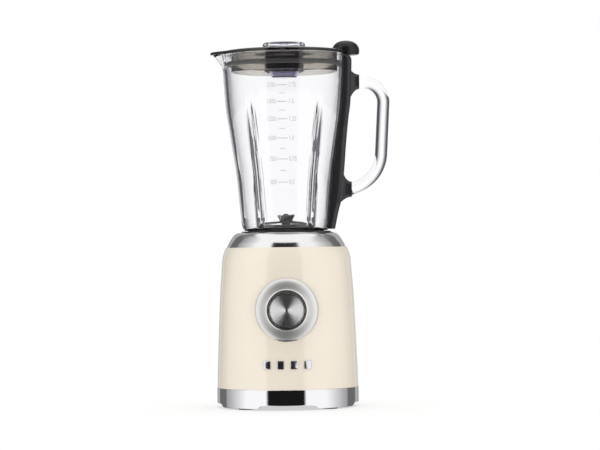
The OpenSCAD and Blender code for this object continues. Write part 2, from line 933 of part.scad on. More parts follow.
module handle_spine() {
    color("#1c1c1f") difference() {
        intersection() {
            side_profile(spine_w_top / 2, concat(
                spine_outline, spine_crown, [[spine_in_x, spine_top_z], [spine_in_x, spine_low_z]]
            ));
            rotate([0, -90, 0]) translate([0, 0, -spine_out_x]) linear_extrude(spine_out_x) polygon([
                [spine_low_z - 1, -spine_w_bottom / 2], [spine_low_z - 1, spine_w_bottom / 2],
                [spine_top_z + 1, spine_w_top / 2], [spine_top_z + 1, -spine_w_top / 2]
            ]);
        }
        glass_outside(0);
        handle_straight([handle_start_x + 2, handle_top_z], 0, 20);
        handle_straight(tail_start, 180 + tail_slope, handle_tail);
    }
}

module upper_ferrule() {
    color("#1c1c1f") difference() {
        side_profile(upper_ferrule_w / 2, upper_ferrule_side);
        spine_trim();
        handle_straight([handle_start_x + 2, handle_top_z], 0, 20);
    }
}

module lower_ferrule() {
    color("#1c1c1f") difference() {
        side_profile(lower_ferrule_w / 2, lower_ferrule_side);
        spine_trim();
        handle_straight(tail_start, 180 + tail_slope, handle_tail);
        handle_bend(lower_bend, handle_lower_r, -tail_angle, handle_lower_turn);
    }
}

// Everything on the jug side of the spine's outer edge
module spine_trim() {
    high_z = spine_outline[len(spine_outline) - 1][1];
    side_profile(spine_w_top, concat(spine_outline, [[spine_in_x, high_z], [spine_in_x, spine_low_z]]));
}

module jar_base_ring() {
    top_z = heel_z - 0.6;
    notch_w = key_w + 2 * lift_gap;
    color("#1b1b1d") difference() {
        rotate_extrude() polygon([
            [jar_ring_hole_r, jar_ring_z], [jar_ring_r, jar_ring_z], [jar_ring_r, top_z - 1],
            [jar_ring_r - 1.2, top_z], [neck_r, top_z], [neck_r, flange_z], [jar_ring_hole_r, flange_z]
        ]);
        around(key_count, 45) translate([seat_r - key_depth - lift_gap, -notch_w / 2, jar_ring_z - cut])
            cube([10, notch_w, 10 + cut]);
    }
}

module jar_gasket() {
    color("#e8e4dc") ring(neck_r - 0.4, floor_r + 0.6, gasket_z, neck_z - gasket_z);
}

module blade_base() {
    flange_r = neck_r - 0.2;
    pocket_r = driven_r + 1.3;
    pocket_z = driven_z + driven_h + 0.6;
    under_z = blade_base_top_z - blade_base_wall;
    lip = 3;
    edge = 1.5;
    crown_r = 14;
    crown_slope = 3;
    inner_r = blade_base_r - blade_base_wall;
    color("#b4b7bb") difference() {
        rotate_extrude() polygon([
            [blade_base_r - lip, flange_z], [flange_r, flange_z], [flange_r, gasket_z],
            [blade_base_r, gasket_z], [blade_base_r, blade_base_top_z - edge],
            [blade_base_r - edge, blade_base_top_z], [crown_r, blade_base_top_z],
            [crown_r - crown_slope, hub_top_z], [0, hub_top_z], [0, pocket_z], [pocket_r, pocket_z],
            [pocket_r, under_z], [inner_r - edge, under_z], [inner_r, under_z - edge],
            [inner_r, flange_z + lip - 1], [blade_base_r - lip, flange_z + 1]
        ]);
        bore([0, 0, pocket_z], bush_outer_r, hub_top_z - pocket_z);
    }
}

module blade_bush() {
    z = driven_z + driven_h + 0.6;
    color("#b08d57") ring(bush_outer_r, spindle_r + run_gap, z, hub_top_z - z);
}

// ---- Blades ----

module blade_spindle() {
    z = driven_z + coupler_h + 0.5;
    color("#c3c6ca") bar([0, 0, z], spindle_r, spindle_top_z - z);
}

// Two-winged blade: a flat hub with wings tilted up or down
module blade_pair(tilt, tip_r, turn) {
    root = 6;
    wing_w = 11;
    tip_w = 3.5;
    wing_l = tip_r - root;
    rotate(turn) difference() {
        union() {
            cylinder(r = blade_hub_r, h = blade_t);
            for (side = [0, 180]) rotate(side) translate([root, 0, 0]) rotate([0, -tilt, 0])
                linear_extrude(blade_t) polygon([
                    [0, -wing_w / 2], [root, -wing_w / 2], [wing_l, wing_w / 2 - tip_w],
                    [wing_l, wing_w / 2], [0, wing_w / 2]
                ]);
        }
        bore([0, 0, 0], spindle_r, 2 * blade_t);
    }
}

module lower_blade() {
    color("#aeb1b5") translate([0, 0, blade_z]) blade_pair(-4, blade_tip_r, 20);
}

module upper_blade() {
    color("#aeb1b5") translate([0, 0, blade_z + blade_t]) blade_pair(24, blade_tip_r - 8, 105);
}

module blade_washer() {
    color("#b4b7bb") ring(5, spindle_r, hub_top_z + washer_gap, blade_z - hub_top_z - washer_gap);
}

module blade_nut() {
    z = blade_z + 2 * blade_t;
    hex_h = 3.6;
    dome_r = 5;
    color("#b4b7bb") difference() {
        union() {
            translate([0, 0, z]) cylinder(r = dome_r + 0.6, h = hex_h, $fn = 6);
            intersection() {
                bar([0, 0, z], dome_r - 0.4, 2 * hex_h);
                translate([0, 0, z + 1.6]) sphere(r = dome_r);
            }
        }
        bar([0, 0, z - cut], spindle_r, cut + spindle_top_z - z);
    }
}

module driven_coupler() {
    color("#242426") difference() {
        bar([0, 0, driven_z], driven_r, driven_h);
        translate([0, 0, driven_z - cut]) linear_extrude(coupler_h + 0.5 + cut) coupler_star(mesh_gap);
        bar([0, 0, driven_z + coupler_h], spindle_r, driven_h);
    }
}

// ---- Lid and cap ----

module lid_plate() {
    top_z = lid_z + lid_t;
    tip_r = 9;
    edge = 0.8;
    skirt_h = lid_z + 1 - lid_skirt_z;
    color("#2a2927", 0.8) difference() {
        union() {
            rotate_extrude() polygon([
                [0, lid_z], [lid_r - edge, lid_z], [lid_r, lid_z + edge], [lid_r - edge, top_z - edge],
                [lid_r - 6, top_z], [0, top_z + lid_crown]
            ]);
            hull() {
                translate([spout_tip_x - spout_cover + tip_r, 0, lid_z])
                    cylinder(r = tip_r, h = 2.6, $fn = 32);
                for (side = [-1, 1]) translate([-60, side * (spout_half_w - 1), lid_z])
                    cylinder(r = 5, h = 3, $fn = 32);
            }
            ring(lid_skirt_r, lid_skirt_r - lid_skirt_wall, lid_skirt_z, skirt_h);
            ring(filler_r + chimney_wall, filler_r, lid_skirt_z, skirt_h);
        }
        bore([0, 0, lid_skirt_z], filler_r, skirt_h + lid_t);
    }
}

module lid_seal() {
    top_z = seal_z + seal_h;
    r_out = radius_at(inset(glass_outline, glass_wall), seal_z) - seal_gap;
    color("#3a3a3c") rotate_extrude() polygon([
        [lid_skirt_r, seal_z], [r_out - seal_edge, seal_z], [r_out, seal_z + seal_edge],
        [r_out, top_z - seal_edge], [r_out - seal_edge, top_z], [lid_skirt_r, top_z]
    ]);
}

module lid_thumb_tab() {
    foot_z = lid_z - tab_hook;
    hook_r = lid_r + 0.05;
    color("#1a1a1c") difference() {
        intersection() {
            translate([tab_x, 0, tab_top_z - tab_dome_r]) sphere(r = tab_dome_r);
            bar([tab_x, 0, foot_z], tab_r, tab_top_z - foot_z);
        }
        bar([0, 0, foot_z - cut], hook_r, lid_t + cut + tab_hook);
        translate([0, 0, lid_z + lid_t]) cylinder(r1 = hook_r, r2 = lid_r - 40, h = 0.9);
    }
}

module measuring_cap() {
    cup_r = filler_r - lift_gap;
    low_z = lid_z + lid_t + lid_crown + lift_gap;
    top_z = low_z + cap_flange_h;
    inside_r = cup_r - cap_wall;
    lip_r = cap_flange_r - 2.5;
    color("#d8d6e6", 0.55) rotate_extrude() polygon([
        [0, cap_depth_z], [cap_depth_r, cap_depth_z], [cup_r, cap_taper_z], [cup_r, low_z],
        [cap_flange_r - 0.5, low_z], [cap_flange_r, low_z + 0.5], [cap_flange_r, top_z - 2],
        [cap_flange_r - 1, top_z - 0.4], [lip_r, top_z], [inside_r, low_z + 1],
        [inside_r, cap_taper_z], [cap_depth_r - cap_wall, cap_depth_z + cap_floor_t],
        [0, cap_depth_z + cap_floor_t]
    ]);
}

foot_pads();
base_plate();
base_screws();
base_band();
body_shell();
top_collar();
jar_seat();
seat_screws();
stator_core();
field_coils();
lower_motor_bracket();
upper_motor_bracket();
motor_screws();
motor_dampers();
lower_bearing();
upper_bearing();
brush_holders();
carbon_brushes();
circuit_board();
selector_switch();
knob_bezel();
badges();
cord_gland();
motor_shaft();
armature_core();
armature_windings();
commutator();
cooling_fan();
drive_coupler();
knob_grip();
knob_face();
knob_spindle();
jar_glass();
handle_spine();
upper_ferrule();
lower_ferrule();
glass_handle();
jar_base_ring();
jar_gasket();
blade_base();
blade_bush();
blade_spindle();
lower_blade();
upper_blade();
blade_washer();
blade_nut();
driven_coupler();
lid_plate();
lid_seal();
lid_thumb_tab();
measuring_cap();
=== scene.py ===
"""Looks of the countertop blender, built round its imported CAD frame.

The row frame is used throughout: metres, +Z up, -Y front, +X handle side. Outlines are written in
millimetres and measured from the box of the CAD node that each piece stands for.
"""

import json
import math

import bmesh
import bpy
from mathutils import Matrix, Vector


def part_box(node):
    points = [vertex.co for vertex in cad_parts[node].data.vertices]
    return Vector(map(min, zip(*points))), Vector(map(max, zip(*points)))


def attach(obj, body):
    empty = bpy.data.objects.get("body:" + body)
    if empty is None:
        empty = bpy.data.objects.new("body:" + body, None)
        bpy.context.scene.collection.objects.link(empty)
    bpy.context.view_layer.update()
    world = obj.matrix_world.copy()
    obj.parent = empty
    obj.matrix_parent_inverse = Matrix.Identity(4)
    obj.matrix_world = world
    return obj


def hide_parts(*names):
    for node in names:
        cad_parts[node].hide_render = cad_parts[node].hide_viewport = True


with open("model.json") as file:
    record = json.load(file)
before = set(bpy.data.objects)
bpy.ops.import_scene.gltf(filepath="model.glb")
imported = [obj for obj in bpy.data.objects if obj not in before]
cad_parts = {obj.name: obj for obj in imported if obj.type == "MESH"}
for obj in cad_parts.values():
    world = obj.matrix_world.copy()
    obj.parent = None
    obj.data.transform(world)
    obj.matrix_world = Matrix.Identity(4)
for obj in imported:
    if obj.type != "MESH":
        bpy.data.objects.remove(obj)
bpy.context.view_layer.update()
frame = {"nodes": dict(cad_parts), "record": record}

MM = 0.001
TURN = 2 * math.pi
TURNS = 192


# ---- Mesh helpers ----

def box_mm(node):
    """Lowest and highest corner of a CAD node, in millimetres."""
    low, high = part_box(node)
    return low / MM, high / MM


def piece(name, verts, faces, place=None, sharp=35):
    """A smooth-shaded mesh from vertices in millimetres; edges sharper than an angle stay sharp."""
    mesh = bpy.data.meshes.new(name)
    mesh.from_pydata([Vector(v) * MM for v in verts], [], faces)
    work = bmesh.new()
    work.from_mesh(mesh)
    bmesh.ops.remove_doubles(work, verts=work.verts, dist=1e-7)
    bmesh.ops.recalc_face_normals(work, faces=work.faces)
    if place:
        bmesh.ops.transform(work, matrix=place, verts=work.verts)
    work.to_mesh(mesh)
    work.free()
    mesh.shade_smooth()
    mesh.set_sharp_from_angle(angle=math.radians(sharp))
    made = bpy.data.objects.new(name, mesh)
    bpy.context.scene.collection.objects.link(made)
    return made


def rounded(corners, steps=5):
    """Closed outline in which each corner (a, b, reach) is eased over that reach."""
    outline = []
    for i, (a, b, reach) in enumerate(corners):
        here = Vector((a, b))
        before = Vector(corners[i - 1][:2]) - here
        after = Vector(corners[(i + 1) % len(corners)][:2]) - here
        reach = min(reach, 0.45 * before.length, 0.45 * after.length)
        if reach <= 0:
            outline.append((a, b))
            continue
        start = here + before.normalized() * reach
        end = here + after.normalized() * reach
        for s in range(steps + 1):
            t = s / steps
            outline.append(tuple((1 - t) ** 2 * start + 2 * t * (1 - t) * here + t * t * end))
    return outline


def smooth_line(points, steps=5):
    """Open curve through the points, tangent-continuous."""
    line = []
    for i in range(len(points) - 1):
        p0, p1, p2, p3 = (
            Vector(points[min(max(k, 0), len(points) - 1)]) for k in range(i - 1, i + 3)
        )
        for s in range(steps):
            t = s / steps
            line.append(tuple(
                0.5 * (2 * p1 + (p2 - p0) * t + (2 * p0 - 5 * p1 + 4 * p2 - p3) * t * t
                       + (3 * p1 - 3 * p2 + p3 - p0) * t ** 3)
            ))
    line.append(tuple(points[-1]))
    return line


def level(line, height):
    """Radius of a line of (radius, height) at one height."""
    for (r0, z0), (r1, z1) in zip(line, line[1:]):
        if z0 <= height <= z1 and z1 > z0:
            return r0 + (r1 - r0) * (height - z0) / (z1 - z0)
    return line[0][0] if height < line[0][1] else line[-1][0]


def ease(value, low, high):
    """0 below low, 1 above high, smooth between."""
    t = min(max((value - low) / (high - low), 0.0), 1.0)
    return t * t * (3 - 2 * t)


def ring_faces(rows, row_len, close_rows=True, close_row=True):
    """Quads between neighbouring rows of vertices."""
    faces = []
    for k in range(rows if close_rows else rows - 1):
        m = (k + 1) % rows
        for i in range(row_len if close_row else row_len - 1):
            j = (i + 1) % row_len
            faces.append((k * row_len + i, m * row_len + i, m * row_len + j, k * row_len + j))
    return faces


def lathe(name, outline, place=None, turns=TURNS, shape=None, sharp=35):
    """Closed outline of (radius, height) turned about Z; shape(r, z, angle) may move points."""
    verts = []
    for k in range(turns):
        a = TURN * k / turns
        for r, z in outline:
            if shape:
                r_here, z_here = shape(r, z, a)
            else:
                r_here, z_here = r, z
            verts.append((r_here * math.cos(a), r_here * math.sin(a), z_here))
    return piece(name, verts, ring_faces(turns, len(outline)), place, sharp)


def loft(name, sections, place=None, sharp=35):
    """Closed solid through sections, each a list of the same number of points."""
    count = len(sections[0])
    verts = [p for section in sections for p in section]
    faces = ring_faces(len(sections), count, close_rows=False)
    faces.append(tuple(range(count)))
    faces.append(tuple(range(len(verts) - count, len(verts))))
    return piece(name, verts, faces, place, sharp)


def cut(body, cutter):
    """Take the cutter's solid out of the body."""
    tool = body.modifiers.new("cut", "BOOLEAN")
    tool.operation = "DIFFERENCE"
    tool.solver = "EXACT"
    tool.object = cutter
    graph = bpy.context.evaluated_depsgraph_get()
    mesh = bpy.data.meshes.new_from_object(body.evaluated_get(graph))
    body.modifiers.remove(tool)
    old = body.data
    body.data = mesh
    bpy.data.meshes.remove(old)
    mesh.name = body.name
    bpy.data.objects.remove(cutter)


def rounded_rect(half_u, half_v, corner, steps=5):
    """Outline of a rectangle with round corners, centred on the origin."""
    points = []
    for turn, (u, v) in enumerate([(1, 1), (-1, 1), (-1, -1), (1, -1)]):
        for s in range(steps + 1):
            a = (turn + s / steps) * math.pi / 2
            points.append((
                u * (half_u - corner) + corner * math.cos(a),
                v * (half_v - corner) + corner * math.sin(a),
            ))
    return points


# ---- Materials ----

class Graph:
    """A short way to add and join the nodes of one material."""

    def __init__(self, tree):
        self.tree = tree
        tree.nodes.clear()

    def add(self, kind, settings=None, **inputs):
        node = self.tree.nodes.new(kind)
        for key, value in (settings or {}).items():
            setattr(node, key, value)
        for key, value in inputs.items():
            self.feed(node, key, value)
        return node

    def feed(self, node, key, value):
        socket = node.inputs[int(key[1:])] if key[0] == "i" and key[1:].isdigit() else node.inputs[key]
        if isinstance(value, bpy.types.NodeSocket):
            self.tree.links.new(value, socket)
        else:
            socket.default_value = value

    def maths(self, operation, a, b=0.0, c=0.0):
        return self.add("ShaderNodeMath", {"operation": operation}, i0=a, i1=b, i2=c).outputs[0]

    def step(self, value, low, high, out_low=0.0, out_high=1.0, smooth=True):
        kind = "SMOOTHSTEP" if smooth else "LINEAR"
        node = self.add("ShaderNodeMapRange", {"interpolation_type": kind}, i0=value, i1=low, i2=high,
                        i3=out_low, i4=out_high)
        return node.outputs[0]

    def blend(self, factor, a, b):
        node = self.add("ShaderNodeMix", {"data_type": "RGBA"})
        self.feed(node, "i0", factor)
        self.feed(node, "i6", a)
        self.feed(node, "i7", b)
        return node.outputs[2]


def shade(colour, by=1.0):
    return (colour[0] * by, colour[1] * by, colour[2] * by, 1.0)


def spot(graph, lines, centre):
    """Coordinates for the grain: the row frame itself, or the distance from an axis along Y or Z."""
    where = graph.add("ShaderNodeTexCoord").outputs["Object"]
    if lines == "solid":
        return where
    keep = {"about_y": (1, 0, 1), "about_z": (1, 1, 0)}[lines]
    moved = graph.add("ShaderNodeVectorMath", {"operation": "SUBTRACT"}, i0=where, i1=centre).outputs[0]
    flat = graph.add("ShaderNodeVectorMath", {"operation": "MULTIPLY"}, i0=moved, i1=keep).outputs[0]
    away = graph.add("ShaderNodeVectorMath", {"operation": "LENGTH"}, i0=flat).outputs["Value"]
    return graph.add("ShaderNodeCombineXYZ", X=away).outputs[0]


def finish(slot, colour, rough, metallic=0.0, darker=0.92, patch=18.0, rough_shift=0.04, grain=900.0,
           stretch=(1, 1, 1), bump=0.02, coat=0.0, coat_rough=0.03, transmission=0.0, ior=1.5,
           anisotropic=0.0, tangent=None, lines="solid", centre=(0, 0, 0), specular=0.5, twist=0.0,
           above=None):
    """One procedural finish: slow colour patches, uneven roughness and a fine grain.

    Above is (height in millimetres, colour) for a moulding whose upper part takes another tone; on the
    cap that split is painted light and shade, as its finish says.
    """
    made = bpy.data.materials.new(slot)
    made.use_nodes = True
    graph = Graph(made.node_tree)
    where = graph.add("ShaderNodeTexCoord").outputs["Object"]
    slow = graph.add("ShaderNodeTexNoise", Vector=where, Scale=patch, Detail=3.0).outputs["Fac"]
    lay = graph.add("ShaderNodeMapping", Vector=spot(graph, lines, centre), Scale=stretch).outputs[0]
    fine = graph.add("ShaderNodeTexNoise", Vector=lay, Scale=grain, Detail=4.0).outputs["Fac"]
    tone = graph.blend(graph.step(slow, 0.3, 0.7), shade(colour), shade(colour, darker))
    if above:
        height = graph.add("ShaderNodeSeparateXYZ", i0=where).outputs[2]
        upper = graph.step(height, (above[0] - 0.5) * MM, (above[0] + 0.5) * MM)
        tone = graph.blend(upper, tone, shade(above[1]))
    mixed = graph.maths("MULTIPLY_ADD", slow, 0.5, graph.maths("MULTIPLY", fine, 0.5))
    uneven = graph.step(mixed, 0.3, 0.7, max(rough - rough_shift, 0.005), rough + rough_shift, False)
    relief = graph.add("ShaderNodeBump", Height=fine, Strength=bump, Distance=0.0004).outputs[0]
    shader = graph.add("ShaderNodeBsdfPrincipled")
    graph.feed(shader, "Base Color", tone)
    graph.feed(shader, "Roughness", uneven)
    graph.feed(shader, "Normal", relief)
    for key, value in {
        "Metallic": metallic, "IOR": ior, "Coat Weight": coat,
        "Coat Roughness": coat_rough, "Transmission Weight": transmission,
        "Anisotropic": anisotropic, "Anisotropic Rotation": twist, "Specular IOR Level": specular,
    }.items():
        shader.inputs[key].default_value = value
    if tangent:
        direction = graph.add("ShaderNodeTangent", {"direction_type": "RADIAL", "axis": tangent})
        graph.feed(shader, "Tangent", direction.outputs[0])
    out = graph.add("ShaderNodeOutputMaterial")
    made.node_tree.links.new(shader.outputs[0], out.inputs["Surface"])
    return made


KNOB_LOW, KNOB_HIGH = box_mm("knob_grip")
KNOB_Z = (KNOB_LOW.z + KNOB_HIGH.z) / 2
KNOB_CENTRE = (0, 0, KNOB_Z * MM)
LID_UNDER = box_mm("jar_glass")[1].z + 0.3
CAP_SEAT = box_mm("measuring_cap")[1].z - 8.4
BRUSHED = {"stretch": (1, 1, 30), "grain": 300.0}

finishes = {
    "cream_enamel": dict(
        colour=(0.88, 0.80, 0.67), rough=0.2, darker=0.98, coat=1.0, bump=0.01, grain=260.0,
        rough_shift=0.03,
    ),
    "chrome_band": dict(
        colour=(0.86, 0.86, 0.88), rough=0.05, metallic=1.0, darker=0.97, rough_shift=0.02,
    ),
    "badge_satin": dict(
        colour=(0.80, 0.80, 0.82), rough=0.2, metallic=1.0, darker=0.95, rough_shift=0.03,
    ),
    "collar_steel": dict(
        colour=(0.84, 0.84, 0.84), rough=0.11, metallic=1.0, darker=0.95, bump=0.04, rough_shift=0.03,
        **BRUSHED,
    ),
    "bezel_metal": dict(
        colour=(0.90, 0.895, 0.88), rough=0.44, metallic=1.0, lines="about_y", centre=KNOB_CENTRE,
        bump=0.02, grain=1500.0,
    ),
    "knob_face_metal": dict(
        colour=(0.90, 0.90, 0.91), rough=0.26, metallic=1.0, lines="about_y", twist=0.25,
        centre=KNOB_CENTRE, grain=2200.0, bump=0.04, anisotropic=0.6, tangent="Y",
    ),
    "knob_black": dict(colour=(0.008, 0.008, 0.010), rough=0.2, specular=0.3, grain=1200.0, bump=0.02),
    "spine_black": dict(colour=(0.020, 0.020, 0.023), rough=0.26, grain=1500.0, bump=0.05),
    "seat_black": dict(colour=(0.018, 0.018, 0.019), rough=0.45, grain=1500.0, bump=0.05),
    "jug_glass": dict(
        colour=(0.993, 0.993, 1.0), rough=0.012, transmission=1.0, darker=0.995, rough_shift=0.006,
        grain=60.0, bump=0.012,
    ),
    "lid_smoke": dict(
        colour=(0.72, 0.69, 0.64), rough=0.04, transmission=1.0, darker=0.85, ior=1.49,
        above=(LID_UNDER, (0.055, 0.052, 0.05)),
    ),
    "tab_black": dict(colour=(0.010, 0.010, 0.012), rough=0.26, specular=0.35, bump=0.01),
    # The cap is one clear violet moulding: the near-white tint above the seat is a painted highlight,
    # and the darker violet of the cup below it is painted shade and dark reflection.
    "cap_clear": dict(
        colour=(0.42, 0.40, 0.52), rough=0.04, transmission=1.0, darker=0.92, ior=1.36,
        above=(CAP_SEAT, (0.97, 0.96, 1.0)),
    ),
    "seal_rubber": dict(colour=(0.060, 0.057, 0.052), rough=0.55, grain=1500.0, bump=0.06),
    "gasket_silicone": dict(colour=(0.75, 0.73, 0.68), rough=0.5, grain=1500.0, bump=0.06),
    "foot_rubber": dict(colour=(0.022, 0.022, 0.022), rough=0.65, grain=1500.0, bump=0.10),
    "blade_steel": dict(
        colour=(0.24, 0.24, 0.225), rough=0.3, metallic=1.0, stretch=(20, 1, 1), bump=0.04,
    ),
    "coupler_black": dict(colour=(0.020, 0.020, 0.021), rough=0.5, grain=1500.0, bump=0.06),
    "bush_bronze": dict(colour=(0.62, 0.42, 0.22), rough=0.32, metallic=1.0, grain=1800.0, bump=0.05),
    "brush_brass": dict(colour=(0.71, 0.55, 0.26), rough=0.3, metallic=1.0, bump=0.03),
    "carbon": dict(colour=(0.035, 0.035, 0.036), rough=0.6, grain=2500.0, bump=0.12),
    "copper": dict(colour=(0.60, 0.27, 0.13), rough=0.38, metallic=1.0, stretch=(1, 1, 12), bump=0.15),
    "core_steel": dict(
        colour=(0.36, 0.37, 0.39), rough=0.42, metallic=1.0, stretch=(1, 1, 14), bump=0.10,
    ),
    "zinc_steel": dict(colour=(0.62, 0.63, 0.65), rough=0.32, metallic=1.0, bump=0.05),
    "fan_plastic": dict(colour=(0.03, 0.03, 0.032), rough=0.42, grain=1400.0, bump=0.05),
    "board_green": dict(colour=(0.03, 0.13, 0.06), rough=0.35, patch=120.0, darker=0.7, bump=0.03),
    "print_grey": dict(colour=(0.50, 0.51, 0.53), rough=0.5, bump=0.02),
    "print_white": dict(colour=(0.93, 0.93, 0.91), rough=0.4, bump=0.02),
}
materials = {name: finish(name, **how) for name, how in finishes.items()}


def dress(obj, body, slot, *nodes, paint=None):
    """Put a made piece in place: give it its finish (the slot's, or the paint's when one is named), fix
    it to its body and hide the CAD nodes it stands for.
    """
    obj.data.materials.clear()
    obj.data.materials.append(materials[paint or slot])
    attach(obj, body)
    if nodes:
        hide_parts(*nodes)
    return obj


for part in frame["record"]["subparts"]:
    carried = frame["nodes"][part["node"]]
    carried.data.materials.clear()
    carried.data.materials.append(materials[part["material_slot"]])
    carried.data.shade_smooth()
    carried.data.set_sharp_from_angle(angle=math.radians(30))


# ---- Base housing ----

shell_low, shell_high = box_mm("body_shell")
GLAND_Z = sum(corner.z for corner in box_mm("cord_gland")) / 2
SHELL_TOP = shell_high.z
collar_low, collar_high = box_mm("top_collar")
band_low, band_high = box_mm("base_band")
BAND_TOP = band_high.z
SHELL_FOOT_R = band_high.x - 0.5
# Outside of the painted shell, as distance in from the band's radius and height above the band
shell_line = smooth_line([
    (SHELL_FOOT_R - inward, BAND_TOP + up) for inward, up in [
        (0.0, 0.0), (0.6, 24.0), (1.6, 49.0), (2.8, 77.0), (4.5, 113.0), (5.7, 127.0), (7.1, 146.0),
        (8.2, 151.5), (9.8, 156.5), (11.4, SHELL_TOP - BAND_TOP),
    ]
])


def front_of_shell(x, z, proud):
    """Y of the point on the shell's front at x and height z, standing proud by a distance."""
    r = level(shell_line, z) + proud
    return -math.sqrt(max(r * r - x * x, 0.0))


def make_shell():
    """Painted shell with its lip inside the band, its ledge at the top and its two round holes."""
    wall = 2.8
    lip_z = shell_low.z
    lip_r = shell_high.x - 1.5
    inner = [(r - wall, z) for r, z in shell_line if BAND_TOP + 2 < z < SHELL_TOP - 5]
    ledge_r = 56.0
    outline = [(lip_r, lip_z), (lip_r, BAND_TOP)] + shell_line + rounded([
        (ledge_r, SHELL_TOP, 0), (ledge_r, SHELL_TOP - 3, 0),
    ]) + inner[::-1] + [(lip_r - 2.5, lip_z)]
    shell = lathe("shell_painted", outline)
    hole_r, deep, start = 6.0, 30, 60
    stub = [(0, 0), (hole_r, 0), (hole_r, deep), (0, deep)]
    for side, z in [(-1, KNOB_Z), (1, GLAND_Z)]:
        turn = Matrix.Rotation(math.radians(-90 * side), 4, "X")
        place = Matrix.Translation((0, side * start * MM, z * MM)) @ turn
        cut(shell, lathe("hole", stub, place, turns=48))
    return shell


dress(make_shell(), "base", "cream_enamel", "body_shell")


def arch(angle):
    """How far the band's lower edge lifts at an angle: low arches between the four feet."""
    out = band_high.x
    across = min(abs(math.sin(angle)), abs(math.cos(angle))) * out
    flat, foot = 27.0, 36.7
    return 3.7 * (1 - ease(across, flat, foot))


def make_band():
    """Polished band round the foot."""
    r, low, high = band_high.x, band_low.z, band_high.z
    outline = rounded([
        (r - 2, low, 0.2), (r, low, 0.9), (r, low + 4, 0), (r, low + 8, 0), (r, high, 0.7),
        (r - 2, high, 0.1), (r - 2, low + 8, 0), (r - 2, low + 4, 0),
    ])

    def lift(radius, z, angle):
        return radius, z + arch(angle) * (1 - ease(z, low + 1, low + 8))

    return lathe("band_polished", outline, turns=360, shape=lift)


dress(make_band(), "base", "chrome_band", "base_band")


def make_collar():
    """Spun steel collar that curves in from the shell to the jug's socket."""
    foot_r, low, high = collar_high.x, collar_low.z, collar_high.z
    outer = smooth_line([
        (foot_r, low), (foot_r - 1.3, low + 3), (foot_r - 2.7, low + 5.9), (foot_r - 5.5, low + 10.5),
        (foot_r - 7.3, low + 13.0), (foot_r - 9.2, low + 15.0), (foot_r - 11.3, low + 16.4),
        (foot_r - 13.5, high),
    ])
    lip = 54.2
    inner = [(r - 1.4, z - 0.9) for r, z in outer if low + 1.2 < z < high - 1]
    edge = rounded([(lip, high, 0.3), (lip, high - 1.2, 0.2)])
    return lathe("collar_spun", [(foot_r - 1.3, low)] + outer + edge + inner[::-1])


dress(make_collar(), "base", "collar_steel", "top_collar")


# ---- Knob, bezel and badges ----

ON_KNOB = Matrix.Translation((0, 0, KNOB_Z * MM)) @ Matrix.Rotation(math.radians(90), 4, "X")
bezel_low, bezel_high = box_mm("knob_bezel")
BEZEL_R = bezel_high.x
BEZEL_OUT = -bezel_low.y
KNOB_R = KNOB_HIGH.x
KNOB_OUT = -KNOB_LOW.y


def make_bezel():
    """Metal ring with a raised lip and a sloping face, standing proud of the shell round the knob."""
    r, out = BEZEL_R, BEZEL_OUT
    hole = KNOB_R + 0.6
    back = out - 9
    inside = [(hole, out - 1.4), (hole + 0.1, out - 0.5), (hole + 0.5, out - 0.05)]
    front = [
        (hole + 0.9, out), (hole + 2.3, out - 0.8), (hole + 3.4, out - 1.2), (hole + 5.0, out - 1.75),
        (r - 6.9, out - 2.4), (r - 5.0, out - 3.1), (r - 3.2, out - 3.9), (r - 1.4, out - 5.0),
        (r - 0.4, out - 5.9), (r, out - 6.8),
    ]
    face = [(hole, back)] + smooth_line(inside + front, 4) + [(r, back)]
    ring = lathe("bezel_dished", face, ON_KNOB)
    for vert in ring.data.vertices:
        x, y, z = vert.co / MM
        in_front = y < -back - 1
        proud = 0.9 if in_front else -0.3
        vert.co.y = min(y, front_of_shell(x, z, proud)) * MM
    return ring


dress(make_bezel(), "base", "bezel_metal", "knob_bezel")

knob_back = -KNOB_HIGH.y
face_r = box_mm("knob_face")[1].x
grip = rounded([
    (0, knob_back, 0), (KNOB_R, knob_back, 0.5), (KNOB_R, KNOB_OUT - 1.9, 0.9),
    (KNOB_R - 0.4, KNOB_OUT - 0.3, 0.6), (face_r, KNOB_OUT, 0.3), (face_r, KNOB_OUT - 1, 0),
    (0, KNOB_OUT - 1, 0),
])
dress(lathe("knob_black_grip", grip, ON_KNOB), "knob", "knob_black", "knob_grip")

# Turned ridges of the knob's face: width of one flank, height of the ridge
RIDGE, RIDGE_DEEP = 0.3, 0.1
ridged_r = face_r - 1.2
face_edge = rounded([
    (0, KNOB_OUT - 1, 0), (face_r, KNOB_OUT - 1, 0), (face_r, KNOB_OUT - 0.2, 0.5),
    (face_r - 1, KNOB_OUT, 0.4), (ridged_r, KNOB_OUT, 0),
])
ridges = [
    (ridged_r - RIDGE * i, KNOB_OUT - RIDGE_DEEP * (i % 2) - 0.1)
    for i in range(int((face_r - 2) / RIDGE))
]
disc = face_edge + ridges + [(0, KNOB_OUT - 0.25)]
dress(lathe("knob_spun_face", disc, ON_KNOB, sharp=30), "knob", "knob_face_metal", "knob_face")


def make_badges():
    """Row of four plain blocks with softened edges, bent to the shell."""
    low, high = box_mm("badges")
    count, width = 4, 8.4
    pitch = (high.x - low.x - width) / (count - 1)
    mid_z = (low.z + high.z) / 2
    layers = [(-0.3, 0.0), (0.9, 0.0), (1.35, 0.15), (1.6, 0.6)]
    verts, faces = [], []
    for i in range(count):
        start = len(verts)
        x0 = low.x + width / 2 + i * pitch
        for proud, inset in layers:
            ring = rounded_rect(width / 2 - inset, (high.z - low.z) / 2 - inset, 1.1)
            for u, v in ring:
                x, z = x0 + u, mid_z + v
                verts.append((x, front_of_shell(x, z, proud), z))
        sides = ring_faces(len(layers), len(ring), close_rows=False)
        faces += [tuple(start + n for n in face) for face in sides]
        faces.append(tuple(range(start, start + len(ring))))
        faces.append(tuple(range(len(verts) - len(ring), len(verts))))
    return piece("badge_blocks", verts, faces)


dress(make_badges(), "base", "chrome_band", "badges", paint="badge_satin")


# ---- Jug ----

